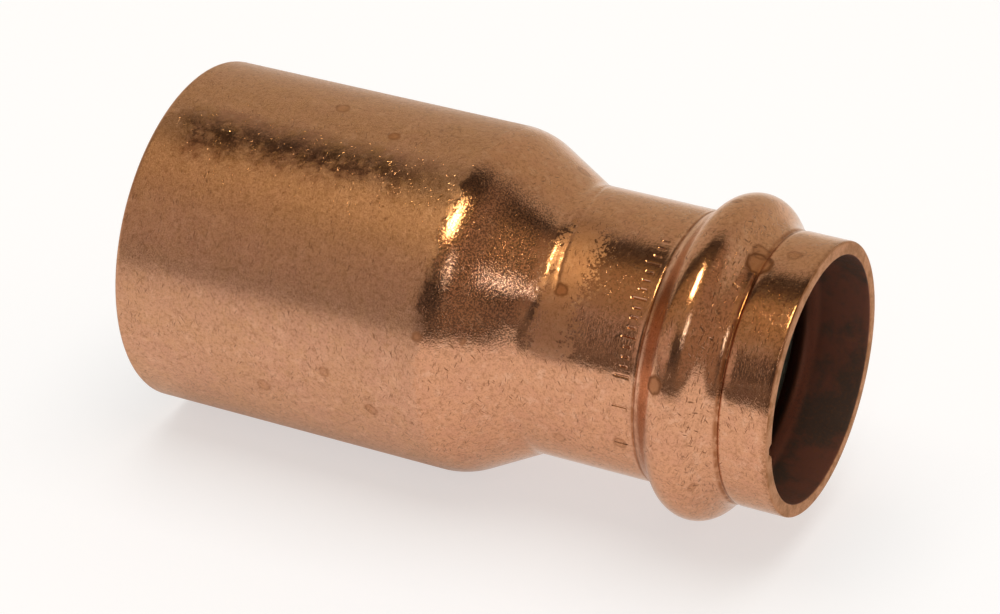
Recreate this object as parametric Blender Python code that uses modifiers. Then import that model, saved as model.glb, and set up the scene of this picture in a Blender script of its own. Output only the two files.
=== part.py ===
"""Press-fit concentric reducer, 1-1/2 in spigot to 1 in socket: a drawn copper body and its sealing ring.

Metres, +Z up. The origin is on the reducer's axis, halfway along it. The axis lies along X: the plain
spigot end faces -X and the beaded socket mouth faces +X.
"""

import math

import bpy
from mathutils import Matrix, Vector

# Overall sizes
LENGTH = 0.0806
SPIGOT_RADIUS = 0.02064
SOCKET_RADIUS = 0.01597
MOUTH_X = LENGTH / 2
SPIGOT_END_X = -LENGTH / 2

# Wall of the body, and the bores that it leaves
SPIGOT_BORE_RADIUS = SPIGOT_RADIUS - 0.0015
SOCKET_BORE_RADIUS = 0.0144
NECK_BORE_RADIUS = 0.0140
TUBE_STOP_X = MOUTH_X - 0.0232
TUBE_STOP_RAMP = 0.0008

# Seal bead: a round crest between two straight flanks
BEAD_X = MOUTH_X - 0.01135
BEAD_RADIUS = 0.01905
BEAD_CREST_ARC = 0.0034
BEAD_FLANK_ANGLE = math.radians(49)
BEAD_ROOT_FILLET = 0.0026
BEAD_WALL = 0.0014
GROOVE_RADIUS = BEAD_RADIUS - BEAD_WALL
GROOVE_ARC = BEAD_CREST_ARC - 0.0013
GROOVE_LIP_FILLET = 0.0024

# Cone between the two sizes, placed by the middle of its outer slope
CONE_ANGLE = math.radians(28)
CONE_MID_X = MOUTH_X - 0.0355
CONE_MID_RADIUS = 0.01835
CONE_WALL = 0.0016
CONE_FOOT_FILLET = 0.0080
CONE_SHOULDER_FILLET = 0.0100

# Rounded edges of the two ends
OUTER_EDGE_FILLET = 0.0003
SPIGOT_LEAD_FILLET = 0.0006
INNER_EDGE_FILLET = 0.00015

# Sealing ring, which sits loose in the bead's groove
RING_SECTION_RADIUS = 0.0016
RING_GAP = 0.0003
RING_MAJOR_RADIUS = GROOVE_RADIUS - RING_GAP - RING_SECTION_RADIUS

# Facets
TURN_STEPS = 48
RING_SECTION_STEPS = 12
EDGE_STEPS = 2
ROOT_STEPS = 3
CREST_STEPS = 7
CONE_STEPS = 4

COPPER_COLOUR = (0.72, 0.36, 0.20, 1.0)
RUBBER_COLOUR = (0.012, 0.014, 0.012, 1.0)


def clear_scene():
    for obj in list(bpy.data.objects):
        bpy.data.objects.remove(obj, do_unlink=True)


def make_collection(name):
    collection = bpy.data.collections.new(name)
    bpy.context.scene.collection.children.link(collection)
    return collection


def make_material(name, colour, metallic, roughness):
    material = bpy.data.materials.new(name)
    material.use_nodes = True
    shader = material.node_tree.nodes["Principled BSDF"]
    shader.inputs["Base Color"].default_value = colour
    shader.inputs["Metallic"].default_value = metallic
    shader.inputs["Roughness"].default_value = roughness
    material.diffuse_color = colour
    return material


def copper_material():
    return make_material("copper", COPPER_COLOUR, metallic=1.0, roughness=0.38)


def rubber_material():
    return make_material("seal_rubber", RUBBER_COLOUR, metallic=0.0, roughness=0.6)


def rounded_corner(before, corner, after, fillet, steps):
    """The points of an arc that rounds one corner of an outline, from its first tangent to its last."""
    back = (Vector(before) - Vector(corner)).normalized()
    ahead = (Vector(after) - Vector(corner)).normalized()
    half_inside = back.angle(ahead) / 2
    centre = Vector(corner) + (back + ahead).normalized() * fillet / math.sin(half_inside)
    spoke = Vector(corner) + back * fillet / math.tan(half_inside) - centre
    turn = math.copysign(math.pi - 2 * half_inside, back.cross(ahead))
    points = []
    for step in range(steps + 1):
        points.append(centre + Matrix.Rotation(-turn * step / steps, 2) @ spoke)
    return points


def rounded_outline(corners):
    """A closed outline through corners given as (x, radius, fillet, steps); no fillet is a plain corner."""
    outline = []
    for index, (x, radius, fillet, steps) in enumerate(corners):
        before = corners[index - 1][:2]
        after = corners[(index + 1) % len(corners)][:2]
        if fillet > 0:
            outline.extend(rounded_corner(before, (x, radius), after, fillet, steps))
        else:
            outline.append((x, radius))
    return outline


def bump_corners(crest_radius, crest_arc, foot_radius, foot_fillet):
    """Corners of a round-topped bump on a tube, from its +X foot over its crest to its -X foot."""
    peak_radius = crest_radius - crest_arc + crest_arc / math.cos(BEAD_FLANK_ANGLE)
    half_width = (peak_radius - foot_radius) / math.tan(BEAD_FLANK_ANGLE)
    return [
        (BEAD_X + half_width, foot_radius, foot_fillet, ROOT_STEPS),
        (BEAD_X, peak_radius, crest_arc, CREST_STEPS),
        (BEAD_X - half_width, foot_radius, foot_fillet, ROOT_STEPS),
    ]


def cone_corners(small_radius, large_radius, inset):
    """The foot and the shoulder of the cone's slope, moved inwards by inset."""
    foot_fillet = CONE_FOOT_FILLET + inset
    shoulder_fillet = CONE_SHOULDER_FILLET - inset
    return [
        (cone_x_at(small_radius, inset), small_radius, foot_fillet, CONE_STEPS),
        (cone_x_at(large_radius, inset), large_radius, shoulder_fillet, CONE_STEPS),
    ]


def cone_x_at(radius, inset):
    """Where the cone's slope, moved inwards by inset, reaches a radius."""
    slope_radius = CONE_MID_RADIUS - inset / math.cos(CONE_ANGLE)
    return CONE_MID_X - (radius - slope_radius) / math.tan(CONE_ANGLE)


def body_outline():
    """The wall's section, down the outside from the socket mouth and back up the bores."""
    outside = [(MOUTH_X, SOCKET_RADIUS, OUTER_EDGE_FILLET, EDGE_STEPS)]
    outside += bump_corners(BEAD_RADIUS, BEAD_CREST_ARC, SOCKET_RADIUS, BEAD_ROOT_FILLET)
    outside += cone_corners(SOCKET_RADIUS, SPIGOT_RADIUS, 0.0)
    outside += [(SPIGOT_END_X, SPIGOT_RADIUS, SPIGOT_LEAD_FILLET, EDGE_STEPS)]
    inside = [(MOUTH_X, SOCKET_BORE_RADIUS, INNER_EDGE_FILLET, EDGE_STEPS)]
    inside += bump_corners(GROOVE_RADIUS, GROOVE_ARC, SOCKET_BORE_RADIUS, GROOVE_LIP_FILLET)
    inside += [
        (TUBE_STOP_X, SOCKET_BORE_RADIUS, 0.0, 0),
        (TUBE_STOP_X - TUBE_STOP_RAMP, NECK_BORE_RADIUS, 0.0, 0),
    ]
    inside += cone_corners(NECK_BORE_RADIUS, SPIGOT_BORE_RADIUS, CONE_WALL)
    inside += [(SPIGOT_END_X, SPIGOT_BORE_RADIUS, INNER_EDGE_FILLET, EDGE_STEPS)]
    return rounded_outline(outside + inside[::-1])


def turn_about_x(name, outline, collection):
    """A body of revolution about X from an outline of (x, radius) points."""
    points = [(radius, 0.0, x) for x, radius in outline]
    edges = [(index, (index + 1) % len(points)) for index in range(len(points))]
    mesh = bpy.data.meshes.new(name)
    mesh.from_pydata(points, edges, [])
    obj = bpy.data.objects.new(name, mesh)
    obj.rotation_euler = (0.0, math.pi / 2, 0.0)
    screw = obj.modifiers.new("turn", "SCREW")
    screw.axis = "Z"
    screw.angle = 2 * math.pi
    screw.steps = TURN_STEPS
    screw.render_steps = TURN_STEPS
    screw.use_merge_vertices = True
    screw.merge_threshold = 0.00001
    screw.use_smooth_shade = True
    flat_ends = obj.modifiers.new("flat_ends", "WEIGHTED_NORMAL")
    flat_ends.keep_sharp = True
    collection.objects.link(obj)
    return obj


def build_copper_body(collection):
    body = turn_about_x("copper_body", body_outline(), collection)
    body.data.materials.append(copper_material())
    return body


def build_sealing_ring(collection):
    bpy.ops.mesh.primitive_torus_add(
        major_segments=TURN_STEPS,
        minor_segments=RING_SECTION_STEPS,
        major_radius=RING_MAJOR_RADIUS,
        minor_radius=RING_SECTION_RADIUS,
        location=(BEAD_X, 0.0, 0.0),
        rotation=(0.0, math.pi / 2, 0.0),
    )
    ring = bpy.context.active_object
    ring.name = "sealing_ring"
    for linked in list(ring.users_collection):
        linked.objects.unlink(ring)
    collection.objects.link(ring)
    ring.data.shade_smooth()
    ring.data.materials.append(rubber_material())
    return ring


def main():
    clear_scene()
    collection = make_collection("press_reducer")
    reducer = bpy.data.objects.new("reducer", None)
    collection.objects.link(reducer)
    for piece in (build_copper_body(collection), build_sealing_ring(collection)):
        piece.parent = reducer


main()
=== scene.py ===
import math

import bmesh
import bpy
from mathutils import Matrix, Vector


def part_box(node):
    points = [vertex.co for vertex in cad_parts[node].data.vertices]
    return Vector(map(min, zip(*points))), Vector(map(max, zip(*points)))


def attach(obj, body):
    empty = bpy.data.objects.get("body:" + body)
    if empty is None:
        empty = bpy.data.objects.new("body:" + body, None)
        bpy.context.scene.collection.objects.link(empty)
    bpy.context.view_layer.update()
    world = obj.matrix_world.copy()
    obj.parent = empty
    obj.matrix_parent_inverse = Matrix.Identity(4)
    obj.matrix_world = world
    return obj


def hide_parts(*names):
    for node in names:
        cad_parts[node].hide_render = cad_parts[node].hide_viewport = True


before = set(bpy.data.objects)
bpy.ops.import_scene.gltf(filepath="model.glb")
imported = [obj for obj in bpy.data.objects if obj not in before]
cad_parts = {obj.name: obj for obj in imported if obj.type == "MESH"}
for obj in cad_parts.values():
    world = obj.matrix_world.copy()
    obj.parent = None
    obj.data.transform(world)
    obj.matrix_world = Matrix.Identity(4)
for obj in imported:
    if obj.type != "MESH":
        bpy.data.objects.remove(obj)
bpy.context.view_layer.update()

# A copper press reducer: one drawn body, turned about X, and the rubber sealing ring in its bead.
# Angles round the axis are in degrees, 0 at the front (-Y) and 90 at the top (+Z).

MM = 0.001
MILLIMETRES_PER_METRE = 1000.0

# Sizes that the frame gives
BODY_LOW, BODY_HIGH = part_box("copper_body")
RING_LOW, RING_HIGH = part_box("sealing_ring")
MOUTH_X = BODY_HIGH.x
SPIGOT_END_X = BODY_LOW.x
SPIGOT_RADIUS = BODY_HIGH.z
BEAD_X = (RING_LOW.x + RING_HIGH.x) / 2
RING_SECTION_RADIUS = (RING_HIGH.x - RING_LOW.x) / 2
RING_MAJOR_RADIUS = RING_HIGH.z - RING_SECTION_RADIUS

# The body's wall
SOCKET_RADIUS = 15.97 * MM
SOCKET_BORE_RADIUS = 14.4 * MM
NECK_BORE_RADIUS = 14.0 * MM
SPIGOT_BORE_RADIUS = SPIGOT_RADIUS - 1.5 * MM
TUBE_STOP_X = MOUTH_X - 23.2 * MM
TUBE_STOP_RAMP = 0.8 * MM
BEAD_RADIUS = 19.05 * MM
BEAD_CREST_ARC = 3.4 * MM
BEAD_FLANK_ANGLE = math.radians(49)
BEAD_ROOT_FILLET = 2.6 * MM
GROOVE_RADIUS = 17.65 * MM
GROOVE_ARC = 2.1 * MM
GROOVE_LIP_FILLET = 2.4 * MM
CONE_ANGLE = math.radians(28)
CONE_MID_X = MOUTH_X - 35.5 * MM
CONE_MID_RADIUS = 18.35 * MM
CONE_WALL = 1.6 * MM
CONE_FOOT_FILLET = 2.4 * MM
CONE_SHOULDER_FILLET = 8.5 * MM
OUTER_EDGE_FILLET = 0.3 * MM
SPIGOT_LEAD_FILLET = 0.6 * MM
INNER_EDGE_FILLET = 0.15 * MM

# Fine creases left by forming, one at each root of the bead: station, depth, half width
ROOT_CREASES = ((24.25 * MM, 0.10 * MM, 0.16 * MM), (34.25 * MM, 0.20 * MM, 0.26 * MM))

# How finely the body and the ring are turned
TURN_STEPS = 192
EDGE_STEPS = 5
ROOT_STEPS = 10
CREST_STEPS = 20
CONE_STEPS = 14
SKIN_STEP = 0.50 * MM
CREASE_STEP = 0.12 * MM
CREASE_REACH = 0.6 * MM
BORE_STEP = 2.0 * MM
RING_SECTION_STEPS = 32
MERGE_DISTANCE = 0.002 * MM
HAIR = 0.01 * MM

# The front of the cone's foot leans towards the mouth: station, degrees round, and how far
FRONT_FOOT_X = 10.6 * MM
FRONT_FOOT_ANGLE = 50.0
FRONT_FOOT_HALF_ANGLE = 11.0
FOOT_LEAN = 1.9 * MM
FOOT_LEAN_REACH = 8.0 * MM

# The stamped row on the neck is a plain scale of long and short ticks, in runs of degrees
STAMP_X = 22.6 * MM
STAMP_SPACING = 4.0
STAMP_ROWS = ((14.0, 74.5), (1.0, 1.0), (-18.0, -18.0))
STAMP_LONG = 0.90 * MM
STAMP_SHORT = 0.45 * MM
STAMP_LONG_EVERY = 4
STAMP_DEPTH = 0.11 * MM
STAMP_LINE = 0.07 * MM
STAMP_REACH = 0.13 * MM
STAMP_CUTS = 4

# The ridge where the cone meets the neck, as (degrees, station), and the lip on the cone's side of it
FOOT_CREASE = ((118.0, 10.2), (100.0, 11.0), (84.0, 11.6), (68.0, 11.9), (52.0, 12.3), (42.0, 12.7))
FOOT_ZONE = (9.0 * MM, 14.0 * MM)
FOOT_CUTS = 2
FOOT_CREASE_DEPTH = 0.08 * MM
FOOT_CREASE_HALF_WIDTH = 0.09 * MM
FOOT_CREASE_REACH = 0.32 * MM
FOOT_LIP_OFFSET = 0.75 * MM
FOOT_LIP_HEIGHT = 0.02 * MM
FOOT_LIP_HALF_WIDTH = 0.12 * MM
FOOT_LIP_REACH = 0.45 * MM

# A nick in the mouth's inner edge
NICK_ANGLE = -6.0
NICK_HALF_ANGLE = 3.0
NICK_DEPTH = 0.22 * MM
NICK_REACH = 0.5 * MM

# Zones of the copper skin: stations in millimetres along the axis, and degrees round it
CONE_ZONE = (-0.7, 9.3)
FLANK_ZONE = (24.0, 27.0)
LEAD_IN_ZONE = (30.6, 33.4)
FILM_ZONE = (11.2, 16.0)
FILM_ANGLES = (14.0, 78.0)
ROOT_LINES = ((24.05, 24.5, 0.14), (33.9, 34.55, 0.18))
# Where the bore's groove lip gets its painted highlight
LIP_HIGHLIGHT_ZONE = (31.9, 34.0)

# The camera looks at the reducer from its front right, a little above
CAMERA_AIM = Vector((4.4, -9.2, 4.9)) * MM
CAMERA_DISTANCE = 405.0 * MM
CAMERA_AZIMUTH = math.radians(26.885)
CAMERA_ELEVATION = math.radians(29.16)
CAMERA_LENS = 128.44
SENSOR_WIDTH = 36.0

FLOOR_Z = BODY_LOW.z


# ---------------------------------------------------------------- modelling

def select_none():
    for obj in bpy.context.selected_objects:
        obj.select_set(False)


def make_active(obj):
    select_none()
    bpy.context.view_layer.objects.active = obj
    obj.select_set(True)


def on_axis(x, radius, degrees):
    """The point at a distance along the axis, a radius and an angle round it."""
    angle = math.radians(degrees)
    return Vector((x, -radius * math.cos(angle), radius * math.sin(angle)))


def rounded_corner(before, corner, after, fillet, steps):
    back = (Vector(before) - Vector(corner)).normalized()
    ahead = (Vector(after) - Vector(corner)).normalized()
    half_inside = back.angle(ahead) / 2
    centre = Vector(corner) + (back + ahead).normalized() * fillet / math.sin(half_inside)
    spoke = Vector(corner) + back * fillet / math.tan(half_inside) - centre
    turn = math.copysign(math.pi - 2 * half_inside, back.cross(ahead))
    points = []
    for step in range(steps + 1):
        points.append(centre + Matrix.Rotation(-turn * step / steps, 2) @ spoke)
    return points


def rounded_outline(corners):
    """A closed outline through (x, radius, fillet, steps) corners; no fillet is a plain corner."""
    outline = []
    for index, (x, radius, fillet, steps) in enumerate(corners):
        before = corners[index - 1][:2]
        after = corners[(index + 1) % len(corners)][:2]
        if fillet > 0:
            outline.extend(rounded_corner(before, (x, radius), after, fillet, steps))
        else:
            outline.append(Vector((x, radius)))
    return outline


def bump_corners(crest_radius, crest_arc, foot_radius, foot_fillet):
    """Corners of a round-topped bump on a tube, from its +X foot over its crest to its -X foot."""
    peak_radius = crest_radius - crest_arc + crest_arc / math.cos(BEAD_FLANK_ANGLE)
    half_width = (peak_radius - foot_radius) / math.tan(BEAD_FLANK_ANGLE)
    return [
        (BEAD_X + half_width, foot_radius, foot_fillet, ROOT_STEPS),
        (BEAD_X, peak_radius, crest_arc, CREST_STEPS),
        (BEAD_X - half_width, foot_radius, foot_fillet, ROOT_STEPS),
    ]


def cone_x_at(radius, inset):
    """Where the cone's slope, moved inwards by inset, reaches a radius."""
    slope_radius = CONE_MID_RADIUS - inset / math.cos(CONE_ANGLE)
    return CONE_MID_X - (radius - slope_radius) / math.tan(CONE_ANGLE)


def cone_corners(small_radius, large_radius, inset):
    foot_fillet = CONE_FOOT_FILLET + inset
    shoulder_fillet = CONE_SHOULDER_FILLET - inset
    return [
        (cone_x_at(small_radius, inset), small_radius, foot_fillet, CONE_STEPS),
        (cone_x_at(large_radius, inset), large_radius, shoulder_fillet, CONE_STEPS),
    ]


def body_outline():
    """The wall's section, down the outside from the mouth and back up the bores, closely spaced."""
    outside = [(MOUTH_X, SOCKET_RADIUS, OUTER_EDGE_FILLET, EDGE_STEPS)]
    outside += bump_corners(BEAD_RADIUS, BEAD_CREST_ARC, SOCKET_RADIUS, BEAD_ROOT_FILLET)
    outside += cone_corners(SOCKET_RADIUS, SPIGOT_RADIUS, 0.0)
    outside += [(SPIGOT_END_X, SPIGOT_RADIUS, SPIGOT_LEAD_FILLET, EDGE_STEPS)]
    inside = [(MOUTH_X, SOCKET_BORE_RADIUS, INNER_EDGE_FILLET, EDGE_STEPS)]
    inside += bump_corners(GROOVE_RADIUS, GROOVE_ARC, SOCKET_BORE_RADIUS, GROOVE_LIP_FILLET)
    inside += [
        (TUBE_STOP_X, SOCKET_BORE_RADIUS, 0.0, 0),
        (TUBE_STOP_X - TUBE_STOP_RAMP, NECK_BORE_RADIUS, 0.0, 0),
    ]
    inside += cone_corners(NECK_BORE_RADIUS, SPIGOT_BORE_RADIUS, CONE_WALL)
    inside += [(SPIGOT_END_X, SPIGOT_BORE_RADIUS, INNER_EDGE_FILLET, EDGE_STEPS)]
    return respaced(rounded_outline(outside + inside[::-1]))


def crease_depth(x):
    depth = 0.0
    for station, deepest, half_width in ROOT_CREASES:
        depth += deepest * math.exp(-(((x - station) / half_width) ** 2))
    return depth


def respaced(corners):
    """The same outline with closer points, closest at the creases, which are cut here."""
    outline = []
    for index, start in enumerate(corners):
        end = corners[(index + 1) % len(corners)]
        outside = min(start.y, end.y) >= SOCKET_RADIUS - HAIR
        span = (end - start).length
        travelled = 0.0
        while travelled < span - HAIR:
            point = start.lerp(end, travelled / span)
            near_crease = any(abs(point.x - crease[0]) < CREASE_REACH for crease in ROOT_CREASES)
            if outside:
                point.y -= crease_depth(point.x)
            outline.append(point)
            if not outside:
                travelled += BORE_STEP
            elif near_crease:
                travelled += CREASE_STEP
            else:
                travelled += SKIN_STEP
    return outline


def turn_body():
    """The body: one corner of a plane is drawn along the section, then the section is spun round X."""
    outline = body_outline()
    first = Vector((outline[0].x, -outline[0].y, 0.0))
    select_none()
    bpy.ops.mesh.primitive_plane_add(size=MM, location=first)
    body = bpy.context.active_object
    body.name = "reducer_body"
    bpy.ops.object.mode_set(mode="EDIT")
    bpy.ops.mesh.select_mode(type="VERT")
    bpy.ops.mesh.select_all(action="SELECT")
    bpy.ops.mesh.merge(type="CENTER")
    bpy.ops.mesh.select_all(action="SELECT")
    for start, end in zip(outline, outline[1:]):
        move = (end.x - start.x, -(end.y - start.y), 0.0)
        bpy.ops.mesh.extrude_vertices_move(TRANSFORM_OT_translate={"value": move})
    mesh = bmesh.from_edit_mesh(body.data)
    for vertex in mesh.verts:
        vertex.select = len(vertex.link_edges) == 1
    mesh.select_flush_mode()
    bmesh.update_edit_mesh(body.data)
    bpy.ops.mesh.edge_face_add()
    bpy.ops.mesh.select_all(action="SELECT")
    bpy.ops.mesh.spin(
        steps=TURN_STEPS, angle=2 * math.pi, center=(0, 0, 0), axis=(1, 0, 0), use_auto_merge=True
    )
    bpy.ops.mesh.select_all(action="SELECT")
    bpy.ops.mesh.remove_doubles(threshold=MERGE_DISTANCE)
    bpy.ops.mesh.normals_make_consistent(inside=False)
    bpy.ops.object.mode_set(mode="OBJECT")
    bpy.ops.object.transform_apply(location=True, rotation=True, scale=True)
    return body


def angle_of(point):
    return math.degrees(math.atan2(point.z, -point.y))


def on_skin(point, below=0.3 * MM):
    """Whether a point is on the outer skin, or no further than this below the socket's."""
    return math.hypot(point.y, point.z) > SOCKET_RADIUS - below


def open_mesh(body, kind):
    """Starts editing the body with nothing selected, to select vertices or faces."""
    make_active(body)
    bpy.ops.object.mode_set(mode="EDIT")
    bpy.ops.mesh.select_mode(type=kind)
    bpy.ops.mesh.select_all(action="DESELECT")
    return bmesh.from_edit_mesh(body.data)


def open_points(body, chosen):
    mesh = open_mesh(body, "VERT")
    for vertex in mesh.verts:
        vertex.select = chosen(vertex.co)
    mesh.select_flush_mode()
    bmesh.update_edit_mesh(body.data)


def soft_sides(reach):
    return {
        "use_proportional_edit": True,
        "proportional_edit_falloff": "SMOOTH",
        "proportional_size": reach,
    }


def subdivide_patch(body, stations, angles, cuts):
    """Splits the outer skin's faces between two stations and two angles."""
    low_x, high_x = stations
    low_angle, high_angle = angles
    mesh = open_mesh(body, "FACE")
    for face in mesh.faces:
        centre = face.calc_center_median()
        along = low_x < centre.x < high_x
        face.select = on_skin(centre, 0.05 * MM) and along and low_angle < angle_of(centre) < high_angle
    bmesh.update_edit_mesh(body.data)
    bpy.ops.mesh.subdivide(number_cuts=cuts)
    bpy.ops.object.mode_set(mode="OBJECT")


def press(body, chosen, depth, reach):
    """Presses the chosen points in along their normals, with soft sides; a minus depth raises them."""
    open_points(body, chosen)
    bpy.ops.transform.shrink_fatten(value=-depth, **soft_sides(reach))
    bpy.ops.object.mode_set(mode="OBJECT")


def stamp_ticks():
    """The stamped ticks, as (degrees, half length)."""
    ticks = []
    for low, high in STAMP_ROWS:
        count = int((high - low) / STAMP_SPACING) + 1
        for index in range(count):
            half_length = STAMP_SHORT if index % STAMP_LONG_EVERY else STAMP_LONG
            ticks.append((low + index * STAMP_SPACING, half_length))
    return ticks


STAMP_TICKS = stamp_ticks()


def in_stamp(point):
    across = point.x - STAMP_X
    if abs(across) > 1.0 * MM or not on_skin(point):
        return False
    angle = angle_of(point)
    for degrees, half_length in STAMP_TICKS:
        around = math.radians(angle - degrees) * SOCKET_RADIUS
        if abs(around) < STAMP_LINE and abs(across) < half_length:
            return True
    return False


def past_foot_crease(point):
    """How far along a point is past the ridge at the cone's foot, or None away from it."""
    if not FOOT_ZONE[0] < point.x < FOOT_ZONE[1] or not on_skin(point):
        return None
    angle = angle_of(point)
    for (high, high_x), (low, low_x) in zip(FOOT_CREASE, FOOT_CREASE[1:]):
        if low <= angle <= high:
            share = (angle - low) / (high - low)
            return point.x - (low_x + (high_x - low_x) * share) * MM
    return None


def in_foot_crease(point):
    past = past_foot_crease(point)
    return past is not None and abs(past) < FOOT_CREASE_HALF_WIDTH


def on_foot_lip(point):
    past = past_foot_crease(point)
    return past is not None and abs(past + FOOT_LIP_OFFSET) < FOOT_LIP_HALF_WIDTH


def at_front_foot(point):
    along = abs(point.x - FRONT_FOOT_X) < 0.5 * MM
    return along and abs(angle_of(point) - FRONT_FOOT_ANGLE) < FRONT_FOOT_HALF_ANGLE


def lean_foot(body):
    open_points(body, at_front_foot)
    bpy.ops.transform.translate(value=(FOOT_LEAN, 0, 0), **soft_sides(FOOT_LEAN_REACH))
    bpy.ops.object.mode_set(mode="OBJECT")


def in_rim_nick(point):
    radius = math.hypot(point.y, point.z)
    at_rim = point.x > MOUTH_X - 0.3 * MM and radius < SOCKET_BORE_RADIUS + 0.2 * MM
    return at_rim and abs(angle_of(point) - NICK_ANGLE) < NICK_HALF_ANGLE


def shape_body(body):
    """The stamp, the ridge at the cone's foot and the nicked rim, the first two in finer faces."""
    lean_foot(body)
    subdivide_patch(body, (STAMP_X - 1.3 * MM, STAMP_X + 1.2 * MM), (-22.0, 78.0), STAMP_CUTS)
    subdivide_patch(body, (9.4 * MM, 13.4 * MM), (38.0, 120.0), FOOT_CUTS)
    press(body, in_stamp, STAMP_DEPTH, STAMP_REACH)
    press(body, in_foot_crease, FOOT_CREASE_DEPTH, FOOT_CREASE_REACH)
    press(body, on_foot_lip, -FOOT_LIP_HEIGHT, FOOT_LIP_REACH)
    press(body, in_rim_nick, NICK_DEPTH, NICK_REACH)


def paint_faces(body, slots):
    """Gives each face the slot of the surface it lies on: the skin, the bores or the two cut ends."""
    skin_slot, bore_slot, rim_slot = slots
    for polygon in body.data.polygons:
        centre = polygon.center
        outward = Vector((0.0, centre.y, centre.z)).normalized()
        facing = polygon.normal.dot(outward)
        at_mouth = centre.x > MOUTH_X - OUTER_EDGE_FILLET
        at_spigot_end = centre.x < SPIGOT_END_X + OUTER_EDGE_FILLET
        if (at_mouth or at_spigot_end) and abs(polygon.normal.x) > 0.5:
            polygon.material_index = rim_slot
        elif facing < 0:
            polygon.material_index = bore_slot
        else:
            polygon.material_index = skin_slot


def finish_piece(piece, node, sharp_degrees=35):
    make_active(piece)
    bpy.ops.object.shade_smooth_by_angle(angle=math.radians(sharp_degrees))
    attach(piece, "root")
    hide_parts(node)


# ---------------------------------------------------------------- node helpers

def add_node(tree, kind, **inputs):
    node = tree.nodes.new(kind)
    for name, value in inputs.items():
        setattr(node, name, value)
    return node


def new_group(name, inputs, outputs):
    """A shader group: inputs are (name, socket type, default), outputs are (name, socket type)."""
    group = bpy.data.node_groups.new(name, "ShaderNodeTree")
    for socket_name, kind, default in inputs:
        socket = group.interface.new_socket(name=socket_name, in_out="INPUT", socket_type=kind)
        if default is not None:
            socket.default_value = default
    for socket_name, kind in outputs:
        group.interface.new_socket(name=socket_name, in_out="OUTPUT", socket_type=kind)
    return group, group.nodes.new("NodeGroupInput"), group.nodes.new("NodeGroupOutput")


def feed(tree, socket, value):
    """Links a socket to another, or sets its value."""
    if isinstance(value, bpy.types.NodeSocket):
        tree.links.new(value, socket)
    else:
        socket.default_value = value


def math_node(tree, operation, *values, clamp=False):
    node = add_node(tree, "ShaderNodeMath", operation=operation, use_clamp=clamp)
    for index, value in enumerate(values):
        feed(tree, node.inputs[index], value)
    return node.outputs[0]


def product(tree, *values):
    result = values[0]
    for value in values[1:]:
        result = math_node(tree, "MULTIPLY", result, value)
    return result


def remap(tree, value, low, high, to_low=0.0, to_high=1.0, smooth=True):
    kind = "SMOOTHSTEP" if smooth else "LINEAR"
    node = add_node(tree, "ShaderNodeMapRange", interpolation_type=kind)
    for name, given in zip(
        ("Value", "From Min", "From Max", "To Min", "To Max"), (value, low, high, to_low, to_high)
    ):
        feed(tree, node.inputs[name], given)
    return node.outputs["Result"]


def noise(tree, vector, scale, detail=2.0, roughness=0.5, distortion=0.0):
    node = add_node(tree, "ShaderNodeTexNoise")
    feed(tree, node.inputs["Vector"], vector)
    feed(tree, node.inputs["Scale"], scale)
    node.inputs["Detail"].default_value = detail
    node.inputs["Roughness"].default_value = roughness
    node.inputs["Distortion"].default_value = distortion
    return node.outputs["Fac"]


def stretched(tree, vector, scale, location=(0, 0, 0), rotation=(0, 0, 0)):
    node = add_node(tree, "ShaderNodeMapping")
    feed(tree, node.inputs["Vector"], vector)
    node.inputs["Scale"].default_value = scale
    node.inputs["Location"].default_value = location
    node.inputs["Rotation"].default_value = rotation
    return node.outputs["Vector"]


def mix_colours(tree, factor, first, second, blend="MIX"):
    """Mixes two colours. The node's sockets share their names, so they are taken by number."""
    node = add_node(tree, "ShaderNodeMix", data_type="RGBA", blend_type=blend)
    feed(tree, node.inputs[0], factor)
    feed(tree, node.inputs[6], first)
    feed(tree, node.inputs[7], second)
    return node.outputs[2]


def mix_values(tree, factor, first, second):
    node = add_node(tree, "ShaderNodeMix", data_type="FLOAT")
    feed(tree, node.inputs[0], factor)
    feed(tree, node.inputs[2], first)
    feed(tree, node.inputs[3], second)
    return node.outputs[0]


def use_group(tree, group, **values):
    node = tree.nodes.new("ShaderNodeGroup")
    node.node_tree = group
    for name, value in values.items():
        feed(tree, node.inputs[name.replace("_", " ")], value)
    return node


# ---------------------------------------------------------------- shared effects

def place_group():
    """Where a point is on the reducer: millimetres along the axis, and degrees round it."""
    group, _, made = new_group(
        "place on the reducer",
        [],
        [("Point", "NodeSocketVector"), ("Along", "NodeSocketFloat"), ("Around", "NodeSocketFloat")],
    )
    coordinates = group.nodes.new("ShaderNodeTexCoord")
    scale = (MILLIMETRES_PER_METRE,) * 3
    point = stretched(group, coordinates.outputs["Object"], scale)
    split = group.nodes.new("ShaderNodeSeparateXYZ")
    group.links.new(point, split.inputs[0])
    forward = math_node(group, "MULTIPLY", split.outputs["Y"], -1.0)
    turn = math_node(group, "ARCTAN2", split.outputs["Z"], forward)
    degrees = math_node(group, "DEGREES", turn)
    group.links.new(point, made.inputs["Point"])
    group.links.new(split.outputs["X"], made.inputs["Along"])
    group.links.new(degrees, made.inputs["Around"])
    return group


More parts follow.
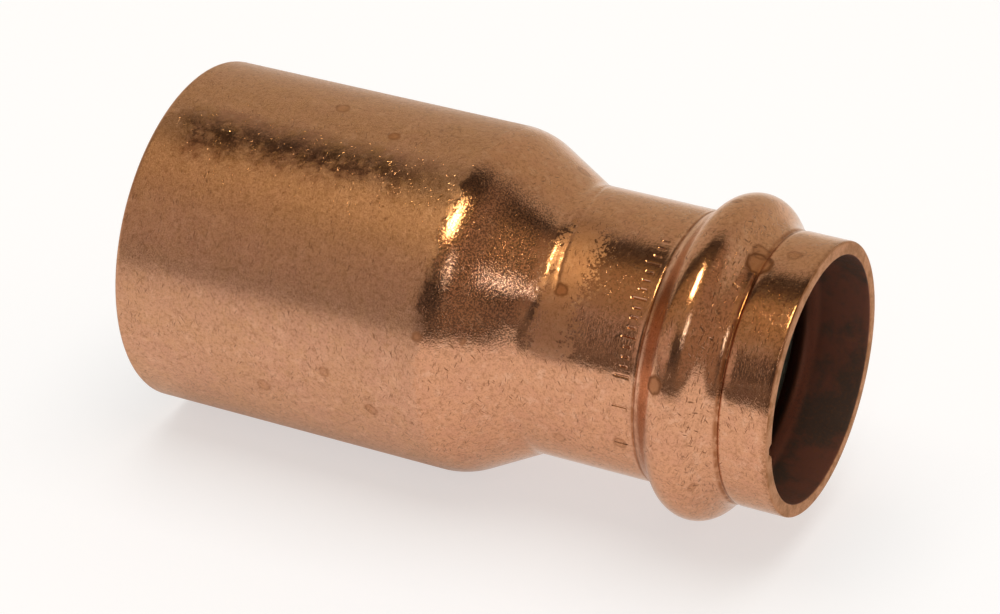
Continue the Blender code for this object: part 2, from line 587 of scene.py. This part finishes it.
def band_group():
    """1 between two values, 0 outside them, with soft sides."""
    group, given, made = new_group(
        "soft band",
        [
            ("Value", "NodeSocketFloat", 0.0),
            ("Low", "NodeSocketFloat", 0.0),
            ("High", "NodeSocketFloat", 1.0),
            ("Softness", "NodeSocketFloat", 0.1),
        ],
        [("Mask", "NodeSocketFloat")],
    )
    value, low, high, soft = (given.outputs[n] for n in ("Value", "Low", "High", "Softness"))
    rise = remap(
        group, value, math_node(group, "SUBTRACT", low, soft), math_node(group, "ADD", low, soft)
    )
    fall = remap(
        group, value, math_node(group, "SUBTRACT", high, soft), math_node(group, "ADD", high, soft)
    )
    kept = math_node(group, "SUBTRACT", 1.0, fall)
    group.links.new(math_node(group, "MULTIPLY", rise, kept), made.inputs["Mask"])
    return group


def spot_group():
    """A round stain with a ragged edge."""
    group, given, made = new_group(
        "ragged spot",
        [
            ("Point", "NodeSocketVector", None),
            ("Centre", "NodeSocketVector", None),
            ("Radius", "NodeSocketFloat", 1.0),
            ("Softness", "NodeSocketFloat", 0.22),
            ("Raggedness", "NodeSocketFloat", 0.5),
        ],
        [("Mask", "NodeSocketFloat")],
    )
    apart = add_node(group, "ShaderNodeVectorMath", operation="DISTANCE")
    group.links.new(given.outputs["Point"], apart.inputs[0])
    group.links.new(given.outputs["Centre"], apart.inputs[1])
    wander = noise(group, given.outputs["Point"], 1.6, 3.0, 0.6)
    wander = math_node(group, "SUBTRACT", wander, 0.5)
    wander = math_node(group, "MULTIPLY", wander, given.outputs["Raggedness"])
    distance = math_node(group, "ADD", apart.outputs["Value"], wander)
    inner = math_node(group, "SUBTRACT", given.outputs["Radius"], given.outputs["Softness"])
    outer = math_node(group, "ADD", given.outputs["Radius"], given.outputs["Softness"])
    group.links.new(remap(group, distance, inner, outer, 1.0, 0.0), made.inputs["Mask"])
    return group


def dashes_group():
    """Short scattered nicks, long one way: Stretch sets their spacing along each axis, per millimetre."""
    group, given, made = new_group(
        "short nicks",
        [
            ("Point", "NodeSocketVector", None),
            ("Stretch", "NodeSocketVector", (3.0, 0.5, 0.5)),
            ("Thickness", "NodeSocketFloat", 0.2),
            ("Share", "NodeSocketFloat", 0.4),
        ],
        [("Mask", "NodeSocketFloat")],
    )
    wander = add_node(group, "ShaderNodeTexNoise")
    group.links.new(given.outputs["Point"], wander.inputs["Vector"])
    wander.inputs["Scale"].default_value = 0.8
    wobble = add_node(group, "ShaderNodeVectorMath", operation="MULTIPLY_ADD")
    group.links.new(wander.outputs["Color"], wobble.inputs[0])
    wobble.inputs[1].default_value = (0.22, 0.22, 0.22)
    group.links.new(given.outputs["Point"], wobble.inputs[2])
    scaled = add_node(group, "ShaderNodeVectorMath", operation="MULTIPLY")
    group.links.new(wobble.outputs["Vector"], scaled.inputs[0])
    group.links.new(given.outputs["Stretch"], scaled.inputs[1])
    cells = add_node(group, "ShaderNodeTexVoronoi", feature="F1", distance="EUCLIDEAN")
    group.links.new(scaled.outputs["Vector"], cells.inputs["Vector"])
    cells.inputs["Scale"].default_value = 1.0
    close = remap(
        group,
        cells.outputs["Distance"],
        given.outputs["Thickness"],
        math_node(group, "MULTIPLY", given.outputs["Thickness"], 0.4),
    )
    chosen = add_node(group, "ShaderNodeSeparateColor")
    group.links.new(cells.outputs["Color"], chosen.inputs[0])
    kept = math_node(group, "LESS_THAN", chosen.outputs[0], given.outputs["Share"])
    group.links.new(math_node(group, "MULTIPLY", close, kept), made.inputs["Mask"])
    return group


def hairs_group():
    """Long fine scratches, as the thin contour lines of a stretched noise."""
    group, given, made = new_group(
        "hair scratches",
        [
            ("Point", "NodeSocketVector", None),
            ("Stretch", "NodeSocketVector", (3.0, 0.3, 0.3)),
            ("Width", "NodeSocketFloat", 0.01),
        ],
        [("Mask", "NodeSocketFloat")],
    )
    scaled = add_node(group, "ShaderNodeVectorMath", operation="MULTIPLY")
    group.links.new(given.outputs["Point"], scaled.inputs[0])
    group.links.new(given.outputs["Stretch"], scaled.inputs[1])
    height = noise(group, scaled.outputs["Vector"], 1.0, 3.0, 0.6)
    off = math_node(group, "ABSOLUTE", math_node(group, "SUBTRACT", height, 0.5))
    line = remap(group, off, 0.0, given.outputs["Width"], 1.0, 0.0)
    broken = remap(group, noise(group, given.outputs["Point"], 0.7, 2.0), 0.45, 0.6)
    group.links.new(math_node(group, "MULTIPLY", line, broken), made.inputs["Mask"])
    return group


PLACE = place_group()
BAND = band_group()
SPOT = spot_group()
NICKS = dashes_group()
HAIRS = hairs_group()


# ---------------------------------------------------------------- materials

def new_material(name):
    material = bpy.data.materials.new(name)
    material.use_nodes = True
    return material, material.node_tree, material.node_tree.nodes["Principled BSDF"]


def bump(tree, height, distance, under=None):
    """The normal after a bump of this height in metres, laid on the normal under it."""
    node = add_node(tree, "ShaderNodeBump")
    node.inputs["Strength"].default_value = 1.0
    node.inputs["Distance"].default_value = distance
    feed(tree, node.inputs["Height"], height)
    if under is not None:
        tree.links.new(under, node.inputs["Normal"])
    return node.outputs["Normal"]


# Colours, linear
SPIGOT_COPPER = (0.600, 0.292, 0.152, 1.0)
FORMED_COPPER = (0.655, 0.322, 0.180, 1.0)
GOLDEN_COPPER = (0.600, 0.300, 0.128, 1.0)
ROSY_COPPER = (0.610, 0.288, 0.178, 1.0)
# The bead flank's painted brightening, and the multiply that takes it back down on the flank's lower side
FLANK_PAINTED_BRIGHT = (0.780, 0.430, 0.280, 1.0)
FLANK_LOW_SIDE_DIMMING = (0.66, 0.53, 0.46, 1.0)
PALE_BLOOM = (0.640, 0.350, 0.215, 1.0)
PALE_PATCH = (0.740, 0.410, 0.260, 1.0)
BROWN_TARNISH = (0.300, 0.128, 0.055, 1.0)
NICK_BROWN = (0.200, 0.085, 0.040, 1.0)
RED_STAIN = (0.300, 0.105, 0.040, 1.0)
ORANGE_STAIN = (0.460, 0.190, 0.080, 1.0)
STAIN_EDGE = (0.200, 0.075, 0.032, 1.0)
# Dark oxide for the cone's pits, also laid on as painted shade in the spigot's band and on the cone
DARK_OXIDE_AND_PAINTED_SHADE = (0.110, 0.060, 0.038, 1.0)
TOP_DUST = (0.92, 0.89, 0.80, 1.0)
RIM_COPPER = (0.480, 0.230, 0.125, 1.0)
BORE_BROWN = (0.130, 0.086, 0.064, 1.0)
BORE_MAROON = (0.27, 0.105, 0.068, 1.0)
# A red highlight painted on the bore's groove lip
LIP_PAINTED_HIGHLIGHT = (0.50, 0.19, 0.120, 1.0)
SKIN_GLINT = (0.95, 0.90, 0.82, 1.0)
RIM_GLINT = (0.88, 0.76, 0.64, 1.0)
RUBBER_BLACK = (0.070, 0.085, 0.070, 1.0)
RUBBER_BLOOM = (0.130, 0.150, 0.125, 1.0)

# Brown stains: station, degrees round, radius in millimetres, strength
STAINS = (
    (27.6, 16.5, 1.1, 1.00),
    (33.9, 74.0, 1.6, 1.00),
    (33.4, 80.0, 1.1, 0.70),
    (13.4, 42.0, 0.8, 1.00),
    (-0.6, 14.5, 0.6, 0.80),
    (4.2, 15.0, 0.4, 0.80),
    (-6.7, -17.0, 0.8, 0.45),
    (-12.3, -6.0, 0.7, 0.40),
    (-21.0, -19.0, 0.9, 0.35),
    (36.9, 84.0, 0.8, 0.60),
    (-12.0, 80.0, 0.7, 0.70),
    (-20.5, 89.0, 0.9, 0.45),
    (7.4, 112.0, 0.9, 0.60),
    (22.4, -18.0, 0.8, 0.60),
    (14.6, -25.0, 0.8, 0.35),
    (28.3, 96.0, 0.6, 0.70),
    (31.8, -26.0, 0.6, 0.60),
)


# The nicks lie round the tube and lean either way: each slant's turn, and its shift from the others
NICK_SLANTS = (((0, 0, 0), 0.0), ((0.2, 0.5, 0.45), 7.3), ((-0.3, -0.6, -0.35), 19.1))


def marks_group():
    """Nicks of all the slants together."""
    group, given, made = new_group(
        "scattered nicks",
        [
            ("Point", "NodeSocketVector", None),
            ("Thickness", "NodeSocketFloat", 0.3),
            ("Share", "NodeSocketFloat", 0.4),
        ],
        [("Mask", "NodeSocketFloat")],
    )
    found = 0.0
    for turn, shift in NICK_SLANTS:
        point = stretched(group, given.outputs["Point"], (1, 1, 1), (shift, shift, 0), turn)
        nicks = use_group(
            group, NICKS, Point=point, Stretch=(6.6, 0.62, 0.62),
            Thickness=given.outputs["Thickness"], Share=given.outputs["Share"],
        )
        found = math_node(group, "MAXIMUM", found, nicks.outputs["Mask"])
    group.links.new(found, made.inputs["Mask"])
    return group


MARKS = marks_group()


def stains_masks(tree, point):
    """All the brown stains together: what they fill, and their darker outlines."""
    outline = body_outline()
    ragged = 0.7
    core_share = 0.72
    filled = 0.0
    lined = 0.0
    for station, degrees, radius, strength in STAINS:
        centre = on_axis(station, skin_radius(outline, station * MM) / MM, degrees)
        spot = use_group(tree, SPOT, Point=point, Centre=centre, Radius=radius, Raggedness=ragged)
        core = use_group(
            tree, SPOT, Point=point, Centre=centre, Radius=radius * core_share, Raggedness=ragged
        )
        ring = math_node(tree, "SUBTRACT", spot.outputs[0], core.outputs[0], clamp=True)
        filled = math_node(tree, "MAXIMUM", filled, product(tree, spot.outputs[0], strength))
        lined = math_node(tree, "MAXIMUM", lined, product(tree, ring, strength))
    return filled, lined


def skin_radius(outline, x):
    return max(point.y for point in outline if abs(point.x - x) < 0.3 * MM)


def between(tree, value, low, high, softness):
    return use_group(tree, BAND, Value=value, Low=low, High=high, Softness=softness).outputs["Mask"]


def copper_skin():
    """Drawn copper, satin on the spigot and brighter on the formed end, with tarnish and small nicks, and
    painted shading: a darkened band high on the spigot, dark pits on the cone's upper front and a
    brightened bead flank.
    """
    material, tree, shader = new_material("drawn copper")
    place = use_group(tree, PLACE)
    point, along, around = (place.outputs[n] for n in ("Point", "Along", "Around"))

    broad = noise(tree, point, 0.11, 4.0, 0.6)
    cloudy = noise(tree, point, 0.45, 5.0, 0.65)
    mottle = noise(tree, point, 2.1, 4.0, 0.75)
    speckle = noise(tree, point, 5.0, 2.0, 0.6)
    dull = remap(tree, noise(tree, point, 30.0, 1.0, 0.5), 0.44, 0.52, smooth=False)
    flecks = remap(tree, noise(tree, point, 7.0, 2.0, 0.6), 0.40, 0.60)
    grain = noise(tree, point, 5.2, 1.5, 0.55)
    drawn = noise(tree, stretched(tree, point, (5.0, 0.9, 0.9)), 1.0, 2.0, 0.55)
    wander = math_node(tree, "MULTIPLY", math_node(tree, "SUBTRACT", cloudy, 0.5), 5.0)
    ragged = math_node(tree, "ADD", along, wander)

    formed = remap(tree, ragged, -1.6, 0.2)
    satin = remap(tree, formed, 0.0, 1.0, 1.0, 0.0)
    cone = between(tree, ragged, *CONE_ZONE, 0.6)

    # A band high on the spigot's front, fading towards the cone: smoother there, so it mirrors the dark
    # room overhead, and darkened in colour as painted shade
    patchy = noise(tree, point, 0.30, 6.0, 0.75)
    sway = math_node(tree, "MULTIPLY", math_node(tree, "SUBTRACT", patchy, 0.5), 34.0)
    lower_edge = math_node(tree, "ADD", around, sway)
    high = product(tree, remap(tree, lower_edge, 50.0, 68.0), remap(tree, around, 76.5, 71.0))
    on_spigot = product(tree, remap(tree, along, -40.5, -34.0), remap(tree, along, 8.0, -20.0))
    polished_band_and_painted_shade = product(tree, high, remap(tree, patchy, 0.34, 0.60, 0.35, 0.95), on_spigot)

    # Colour: two coppers, clouded, with a browner mottle
    rosy = mix_colours(tree, remap(tree, broad, 0.35, 0.65), ROSY_COPPER, SPIGOT_COPPER)
    rosy = mix_colours(tree, remap(tree, cloudy, 0.45, 0.65, 0.0, 0.6), rosy, GOLDEN_COPPER)
    colour = mix_colours(tree, formed, rosy, FORMED_COPPER)
    blush = product(tree, formed, remap(tree, cloudy, 0.42, 0.62, 0.0, 0.45))
    colour = mix_colours(tree, blush, colour, ROSY_COPPER)
    # Painted light: the bead's flank is painted brighter, a painted reflection of a brighter room; on its
    # lower side, below 14 degrees where it mirrors the floor, that brightening is multiplied back down
    flank = between(tree, along, *FLANK_ZONE, 0.5)
    colour = mix_colours(tree, flank, colour, FLANK_PAINTED_BRIGHT)
    flank_low_side = product(tree, flank, remap(tree, around, 14.0, 2.0))
    colour = mix_colours(tree, flank_low_side, colour, FLANK_LOW_SIDE_DIMMING, "MULTIPLY")
    bloom = product(tree, dull, satin, remap(tree, polished_band_and_painted_shade, 0.0, 0.6, 1.0, 0.0))
    colour = mix_colours(tree, bloom, colour, PALE_BLOOM)
    patches = noise(tree, point, 0.75, 5.0, 0.65)
    colour = mix_colours(tree, remap(tree, patches, 0.52, 0.66, 0.0, 0.55), colour, PALE_PATCH)
    browned = remap(tree, mottle, 0.46, 0.72, 0.0, 0.60)
    colour = mix_colours(tree, browned, colour, BROWN_TARNISH)
    pores = remap(tree, speckle, 0.57, 0.68, 0.0, 0.45)
    colour = mix_colours(tree, pores, colour, BROWN_TARNISH)
    # Dark oxide in the pits between the cone's grains, laid only from about 12 to 82 degrees round, where
    # the cone mirrors the dark room: real pitting, and a painted dark reflection
    pit_oxide_and_painted_shade = product(tree, cone, remap(tree, grain, 0.46, 0.55), remap(tree, around, 12.0, 18.0))
    pit_oxide_and_painted_shade = product(tree, pit_oxide_and_painted_shade, remap(tree, around, 82.0, 72.0))
    colour = mix_colours(tree, product(tree, pit_oxide_and_painted_shade, 0.56), colour, DARK_OXIDE_AND_PAINTED_SHADE)
    dusty = remap(tree, around, 68.0, 84.0)
    colour = mix_colours(tree, dusty, colour, TOP_DUST, "MULTIPLY")
    # Painted shade: the band's colour darkened, standing in for the dark room it mirrors
    colour = mix_colours(tree, product(tree, polished_band_and_painted_shade, 0.32), colour, DARK_OXIDE_AND_PAINTED_SHADE)

    # A dull brown film on the neck beside the cone
    fraying = math_node(tree, "MULTIPLY", math_node(tree, "SUBTRACT", mottle, 0.5), 11.0)
    frayed = math_node(tree, "ADD", ragged, fraying)
    film = product(tree, between(tree, frayed, *FILM_ZONE, 0.8), between(tree, around, *FILM_ANGLES, 6.0))
    colour = mix_colours(tree, product(tree, film, 0.36), colour, BROWN_TARNISH)

    # Tarnish lines in the creases at the bead's roots, and stains
    lines = math_node(tree, "MAXIMUM", *(between(tree, along, *line) for line in ROOT_LINES))
    broken = remap(tree, noise(tree, point, 0.9, 4.0, 0.6), 0.35, 0.55, 0.35, 0.9)
    colour = mix_colours(tree, product(tree, lines, broken), colour, RED_STAIN)
    stained, stain_lines = stains_masks(tree, point)
    colour = mix_colours(tree, product(tree, stained, 0.75), colour, ORANGE_STAIN)
    colour = mix_colours(tree, product(tree, stain_lines, 0.9), colour, STAIN_EDGE)
    edge = product(tree, remap(tree, along, 39.3, 40.2), remap(tree, mottle, 0.4, 0.6, 0.2, 0.8))
    colour = mix_colours(tree, edge, colour, BROWN_TARNISH)

    # Nicks and hair scratches
    crowd = remap(tree, noise(tree, point, 0.20, 3.0, 0.65), 0.42, 0.62, 0.02, 0.24)
    crowd = math_node(tree, "ADD", crowd, product(tree, between(tree, along, *LEAD_IN_ZONE, 0.5), 0.3))
    marks = use_group(tree, MARKS, Point=point, Thickness=0.29, Share=crowd).outputs["Mask"]
    colour = mix_colours(tree, product(tree, marks, 0.85), colour, NICK_BROWN)
    slant = stretched(tree, point, (1, 1, 1), rotation=(0.3, 0.7, 0.5))
    hairs = use_group(tree, HAIRS, Point=slant, Stretch=(2.6, 0.9, 1.1), Width=0.045).outputs["Mask"]
    colour = mix_colours(tree, product(tree, hairs, 0.22), colour, NICK_BROWN)

    # Short bright fibres, mostly on the satin
    cross = stretched(tree, point, (1, 1, 1), (5, 3, 1), (0.8, -0.6, 1.1))
    fibres = use_group(tree, NICKS, Point=cross, Stretch=(7.5, 0.9, 1.5), Thickness=0.32, Share=0.35)
    fibres = fibres.outputs["Mask"]

    # The spigot is a fine mixture of bright and dull grains; the formed end is mostly bright
    spigot_rough = remap(tree, dull, 0.0, 1.0, 0.14, 0.42, smooth=False)
    spigot_rough = math_node(tree, "ADD", spigot_rough, product(tree, flecks, 0.12))
    formed_rough = remap(tree, dull, 0.0, 1.0, 0.08, 0.15, smooth=False)
    bright = math_node(tree, "MAXIMUM", formed, polished_band_and_painted_shade)
    roughness = mix_values(tree, bright, spigot_rough, formed_rough)
    roughness = math_node(tree, "SUBTRACT", roughness, product(tree, fibres, satin, 0.10), clamp=True)
    roughness = math_node(tree, "ADD", roughness, product(tree, flank, 0.14))
    roughness = math_node(tree, "ADD", roughness, product(tree, stained, 0.30))
    roughness = math_node(tree, "ADD", roughness, product(tree, film, 0.34))

    # Relief, from the cone's coarse grain to the scratches and the gentle unevenness of the wall
    normal = bump(tree, product(tree, grain, cone), 0.017 * MM)
    streaks = math_node(tree, "ADD", formed, product(tree, flank, 2.0))
    normal = bump(tree, product(tree, drawn, streaks), 0.008 * MM, normal)
    normal = bump(tree, mottle, 0.014 * MM, normal)
    normal = bump(tree, product(tree, marks, -1.0), 0.025 * MM, normal)
    scored = math_node(tree, "ADD", product(tree, hairs, 0.3), product(tree, fibres, satin))
    scored = math_node(tree, "ADD", scored, product(tree, fibres, 0.5))
    normal = bump(tree, scored, 0.007 * MM, normal)
    normal = bump(tree, cloudy, 0.03 * MM, normal)

    feed(tree, shader.inputs["Base Color"], colour)
    feed(tree, shader.inputs["Roughness"], roughness)
    feed(tree, shader.inputs["Normal"], normal)
    shader.inputs["Metallic"].default_value = 1.0
    shader.inputs["Specular Tint"].default_value = SKIN_GLINT
    return material


def bore_oxide():
    """The bores: dull chocolate oxide, redder in clouds, with a red highlight painted along the groove's
    lip.
    """
    material, tree, shader = new_material("bore oxide")
    place = use_group(tree, PLACE)
    point = place.outputs["Point"]
    cloudy = noise(tree, point, 0.16, 6.0, 0.66)
    fine = noise(tree, point, 3.0, 3.0, 0.7)
    colour = mix_colours(tree, remap(tree, cloudy, 0.40, 0.60), BORE_BROWN, BORE_MAROON)
    # Painted highlight: a red band along the groove's lip, where light would catch it
    lip = between(tree, place.outputs["Along"], *LIP_HIGHLIGHT_ZONE, 0.5)
    lip = product(tree, lip, remap(tree, fine, 0.3, 0.6, 0.5, 1.0))
    colour = mix_colours(tree, lip, colour, LIP_PAINTED_HIGHLIGHT)
    colour = mix_colours(tree, remap(tree, fine, 0.45, 0.75, 0.0, 0.4), colour, BROWN_TARNISH)
    feed(tree, shader.inputs["Base Color"], colour)
    feed(tree, shader.inputs["Roughness"], remap(tree, fine, 0.3, 0.7, 0.38, 0.55))
    feed(tree, shader.inputs["Normal"], bump(tree, fine, 0.012 * MM))
    shader.inputs["Metallic"].default_value = 0.55
    return material


def cut_rim():
    """The two cut ends: bare copper, blotched brown, with a fine grain."""
    material, tree, shader = new_material("cut copper edge")
    place = use_group(tree, PLACE)
    point = place.outputs["Point"]
    fine = noise(tree, point, 4.0, 3.0, 0.7)
    blotch = noise(tree, point, 0.6, 4.0, 0.6)
    colour = mix_colours(tree, remap(tree, blotch, 0.4, 0.65), RIM_COPPER, BROWN_TARNISH)
    colour = mix_colours(tree, remap(tree, fine, 0.50, 0.70, 0.0, 0.6), colour, BROWN_TARNISH)
    feed(tree, shader.inputs["Base Color"], colour)
    feed(tree, shader.inputs["Roughness"], remap(tree, fine, 0.3, 0.7, 0.3, 0.45))
    feed(tree, shader.inputs["Normal"], bump(tree, fine, 0.03 * MM))
    shader.inputs["Metallic"].default_value = 1.0
    shader.inputs["Specular Tint"].default_value = RIM_GLINT
    return material


def seal_rubber():
    """Black rubber with a faint bloom, glossier in places."""
    material, tree, shader = new_material("seal rubber")
    place = use_group(tree, PLACE)
    point = place.outputs["Point"]
    fine = noise(tree, point, 4.0, 3.0, 0.6)
    bloom = noise(tree, point, 0.5, 4.0, 0.6)
    colour = mix_colours(tree, remap(tree, bloom, 0.4, 0.7), RUBBER_BLACK, RUBBER_BLOOM)
    feed(tree, shader.inputs["Base Color"], colour)
    feed(tree, shader.inputs["Roughness"], remap(tree, bloom, 0.3, 0.7, 0.32, 0.6))
    feed(tree, shader.inputs["Normal"], bump(tree, fine, 0.008 * MM))
    return material


# ---------------------------------------------------------------- pieces

def build_body():
    body = turn_body()
    shape_body(body)
    for material in (copper_skin(), bore_oxide(), cut_rim()):
        body.data.materials.append(material)
    paint_faces(body, (0, 1, 2))
    finish_piece(body, "copper_body")


def build_ring():
    """The sealing ring, round in section, in the bead's groove."""
    select_none()
    bpy.ops.mesh.primitive_torus_add(
        major_segments=TURN_STEPS,
        minor_segments=RING_SECTION_STEPS,
        major_radius=RING_MAJOR_RADIUS,
        minor_radius=RING_SECTION_RADIUS,
        location=(BEAD_X, 0, 0),
        rotation=(0, math.pi / 2, 0),
    )
    ring = bpy.context.active_object
    ring.name = "rubber_seal"
    bpy.ops.object.transform_apply(location=True, rotation=True, scale=True)
    ring.data.materials.append(seal_rubber())
    finish_piece(ring, "sealing_ring", sharp_degrees=60)


# ---------------------------------------------------------------- camera, floor and light

def place_camera():
    back = Vector((
        math.cos(CAMERA_ELEVATION) * math.sin(CAMERA_AZIMUTH),
        -math.cos(CAMERA_ELEVATION) * math.cos(CAMERA_AZIMUTH),
        math.sin(CAMERA_ELEVATION),
    ))
    camera = bpy.data.objects.new("camera", bpy.data.cameras.new("camera"))
    bpy.context.scene.collection.objects.link(camera)
    camera.data.lens = CAMERA_LENS
    camera.data.sensor_width = SENSOR_WIDTH
    camera.data.clip_start = 0.01
    camera.location = CAMERA_AIM + back * CAMERA_DISTANCE
    camera.rotation_euler = back.to_track_quat("Z", "Y").to_euler()
    bpy.context.scene.camera = camera


FLOOR_SIZE = 3.0
FLOOR_GLOW = 0.55
FLOOR_WHITE = (0.50, 0.50, 0.51, 1.0)

# What the copper mirrors of the floor: a dark room past its front edge, and shade under the spigot
SHEET_FRONT_Y = -0.38
SHEET_EDGE = 0.05
DARK_ROOM = (0.10, 0.09, 0.08, 1.0)
UNDER_SHADE = 0.40
UNDER_NEAR = 0.007
UNDER_FAR = 0.019
UNDER_RIGHT = -0.004
UNDER_RIGHT_EDGE = 0.010


def lay_floor():
    """A pale floor. Beyond the front edge of the white sheet, reflections see a dark room."""
    select_none()
    bpy.ops.mesh.primitive_plane_add(size=FLOOR_SIZE, location=(0, 0, FLOOR_Z))
    floor = bpy.context.active_object
    floor.name = "floor"
    material, tree, shader = new_material("pale floor")
    coordinates = tree.nodes.new("ShaderNodeNewGeometry")
    split = tree.nodes.new("ShaderNodeSeparateXYZ")
    tree.links.new(coordinates.outputs["Position"], split.inputs[0])
    beyond = remap(
        tree, split.outputs["Y"], SHEET_FRONT_Y - SHEET_EDGE, SHEET_FRONT_Y + SHEET_EDGE, 1.0, 0.0
    )
    rays = tree.nodes.new("ShaderNodeLightPath")
    mirrored = rays.outputs["Is Glossy Ray"]
    unseen = math_node(tree, "MULTIPLY", beyond, mirrored)
    feed(tree, shader.inputs["Base Color"], mix_colours(tree, unseen, FLOOR_WHITE, DARK_ROOM))
    shader.inputs["Emission Color"].default_value = (1.0, 1.0, 1.0, 1.0)
    off_axis = math_node(tree, "ABSOLUTE", split.outputs["Y"])
    under = remap(tree, off_axis, UNDER_NEAR, UNDER_FAR, UNDER_SHADE, 0.0)
    under_spigot = remap(tree, split.outputs["X"], UNDER_RIGHT + UNDER_RIGHT_EDGE, UNDER_RIGHT)
    under = product(tree, under, under_spigot)
    glow = remap(tree, unseen, 0.0, 1.0, FLOOR_GLOW, 0.0)
    shaded = math_node(tree, "SUBTRACT", 1.0, product(tree, under, mirrored))
    feed(tree, shader.inputs["Emission Strength"], product(tree, glow, shaded))
    shader.inputs["Roughness"].default_value = 0.9
    shader.inputs["Specular IOR Level"].default_value = 0.0
    floor.data.materials.append(material)


# The room's shades by degrees round X: from below the front, over the top, to below the back
ROOM_STOPS = [
    (-60, (0.20, 0.19, 0.18)),
    (-8, (0.18, 0.155, 0.14)),
    (14, (0.21, 0.175, 0.145)),
    (18, (0.105, 0.090, 0.080)),
    (36, (0.095, 0.080, 0.070)),
    (41, (0.37, 0.31, 0.235)),
    (60, (0.42, 0.325, 0.205)),
    (80, (0.37, 0.28, 0.165)),
    (91, (0.11, 0.085, 0.060)),
    (109, (0.060, 0.052, 0.045)),
    (115, (0.54, 0.50, 0.42)),
    (135, (0.61, 0.58, 0.50)),
    (180, (0.72, 0.70, 0.63)),
    (230, (0.60, 0.59, 0.55)),
]
RIGHT_WALL = (0.40, 0.31, 0.235, 1.0)
LEFT_WALL = (0.58, 0.49, 0.43, 1.0)
ROOM_START = -60.0
ROOM_END = 300.0


def light_room():
    """The room as the copper sees it: dark ahead, a dull wall above, a dark gap overhead, pale behind."""
    world = bpy.data.worlds.new("room")
    world.use_nodes = True
    bpy.context.scene.world = world
    tree = world.node_tree
    background = tree.nodes["Background"]
    coordinates = tree.nodes.new("ShaderNodeTexCoord")
    split = tree.nodes.new("ShaderNodeSeparateXYZ")
    tree.links.new(coordinates.outputs["Generated"], split.inputs[0])
    forward = math_node(tree, "MULTIPLY", split.outputs["Y"], -1.0)
    turn = math_node(tree, "DEGREES", math_node(tree, "ARCTAN2", split.outputs["Z"], forward))
    turn = math_node(tree, "WRAP", turn, ROOM_END, ROOM_START)
    across = split.outputs["X"]
    sway = remap(tree, across, -0.46, -0.31, 5.0, -2.5, smooth=False)
    swayed = math_node(tree, "ADD", turn, product(tree, sway, remap(tree, turn, 80.0, 95.0)))
    place = remap(tree, swayed, ROOM_START, ROOM_END, smooth=False)
    ramp = tree.nodes.new("ShaderNodeValToRGB")
    tree.links.new(place, ramp.inputs[0])
    stops = ramp.color_ramp.elements
    while len(stops) < len(ROOM_STOPS):
        stops.new(0.5)
    for stop, (degrees, _) in zip(stops, ROOM_STOPS):
        stop.position = (degrees - ROOM_START) / (ROOM_END - ROOM_START)
    for stop, (_, colour) in zip(stops, ROOM_STOPS):
        stop.color = (*colour, 1.0)
    to_right = remap(tree, across, 0.15, 0.5, 0.0, 0.90)
    wall = product(tree, to_right, remap(tree, turn, -2.0, 10.0), remap(tree, turn, 118.0, 108.0))
    room = mix_colours(tree, wall, ramp.outputs["Color"], RIGHT_WALL)
    left_foot = remap(tree, across, -0.36, -0.44, 28.0, 8.0)
    left = product(tree, remap(tree, across, -0.34, -0.41), between(tree, turn, left_foot, 44.0, 5.0))
    room = mix_colours(tree, left, room, LEFT_WALL)
    rays = tree.nodes.new("ShaderNodeLightPath")
    seen = mix_colours(tree, rays.outputs["Is Camera Ray"], room, (1.0, 1.0, 1.0, 1.0))
    tree.links.new(seen, background.inputs["Color"])


def add_lamp(name, direction, distance, width, height, radiance, colour):
    """A rectangular lamp that faces the reducer: its width lies along X."""
    lamp = bpy.data.lights.new(name, "AREA")
    lamp.shape = "RECTANGLE"
    lamp.size = width
    lamp.size_y = height
    lamp.energy = radiance * math.pi * width * height
    lamp.color = colour
    obj = bpy.data.objects.new(name, lamp)
    bpy.context.scene.collection.objects.link(obj)
    back = Vector(direction).normalized()
    side = (Vector((1, 0, 0)) - back * back.x).normalized()
    turn = Matrix((side, back.cross(side), back)).transposed()
    obj.matrix_world = Matrix.LocRotScale(back * distance, turn, None)
    return obj


def light_lamps():
    """A soft wash for the floor, a warm lamp overhead, and a narrow cool one to the front right."""
    wash = add_lamp("floor wash", (0, 0, 1), 1.2, 1.2, 1.2, 2.2, (1, 1, 1))
    wash.visible_glossy = False
    warm = add_lamp("warm lamp", (-0.02, -0.27, 0.96), 1.0, 0.09, 0.30, 44.0, (1.0, 0.91, 0.56))
    warm.visible_diffuse = False
    add_lamp("cool flash", (0.28, -0.70, 0.645), 0.5, 0.010, 0.13, 19.0, (0.78, 0.92, 1.0))


build_body()
build_ring()
place_camera()
lay_floor()
light_room()
light_lamps()
bpy.context.scene.view_settings.view_transform = "Standard"
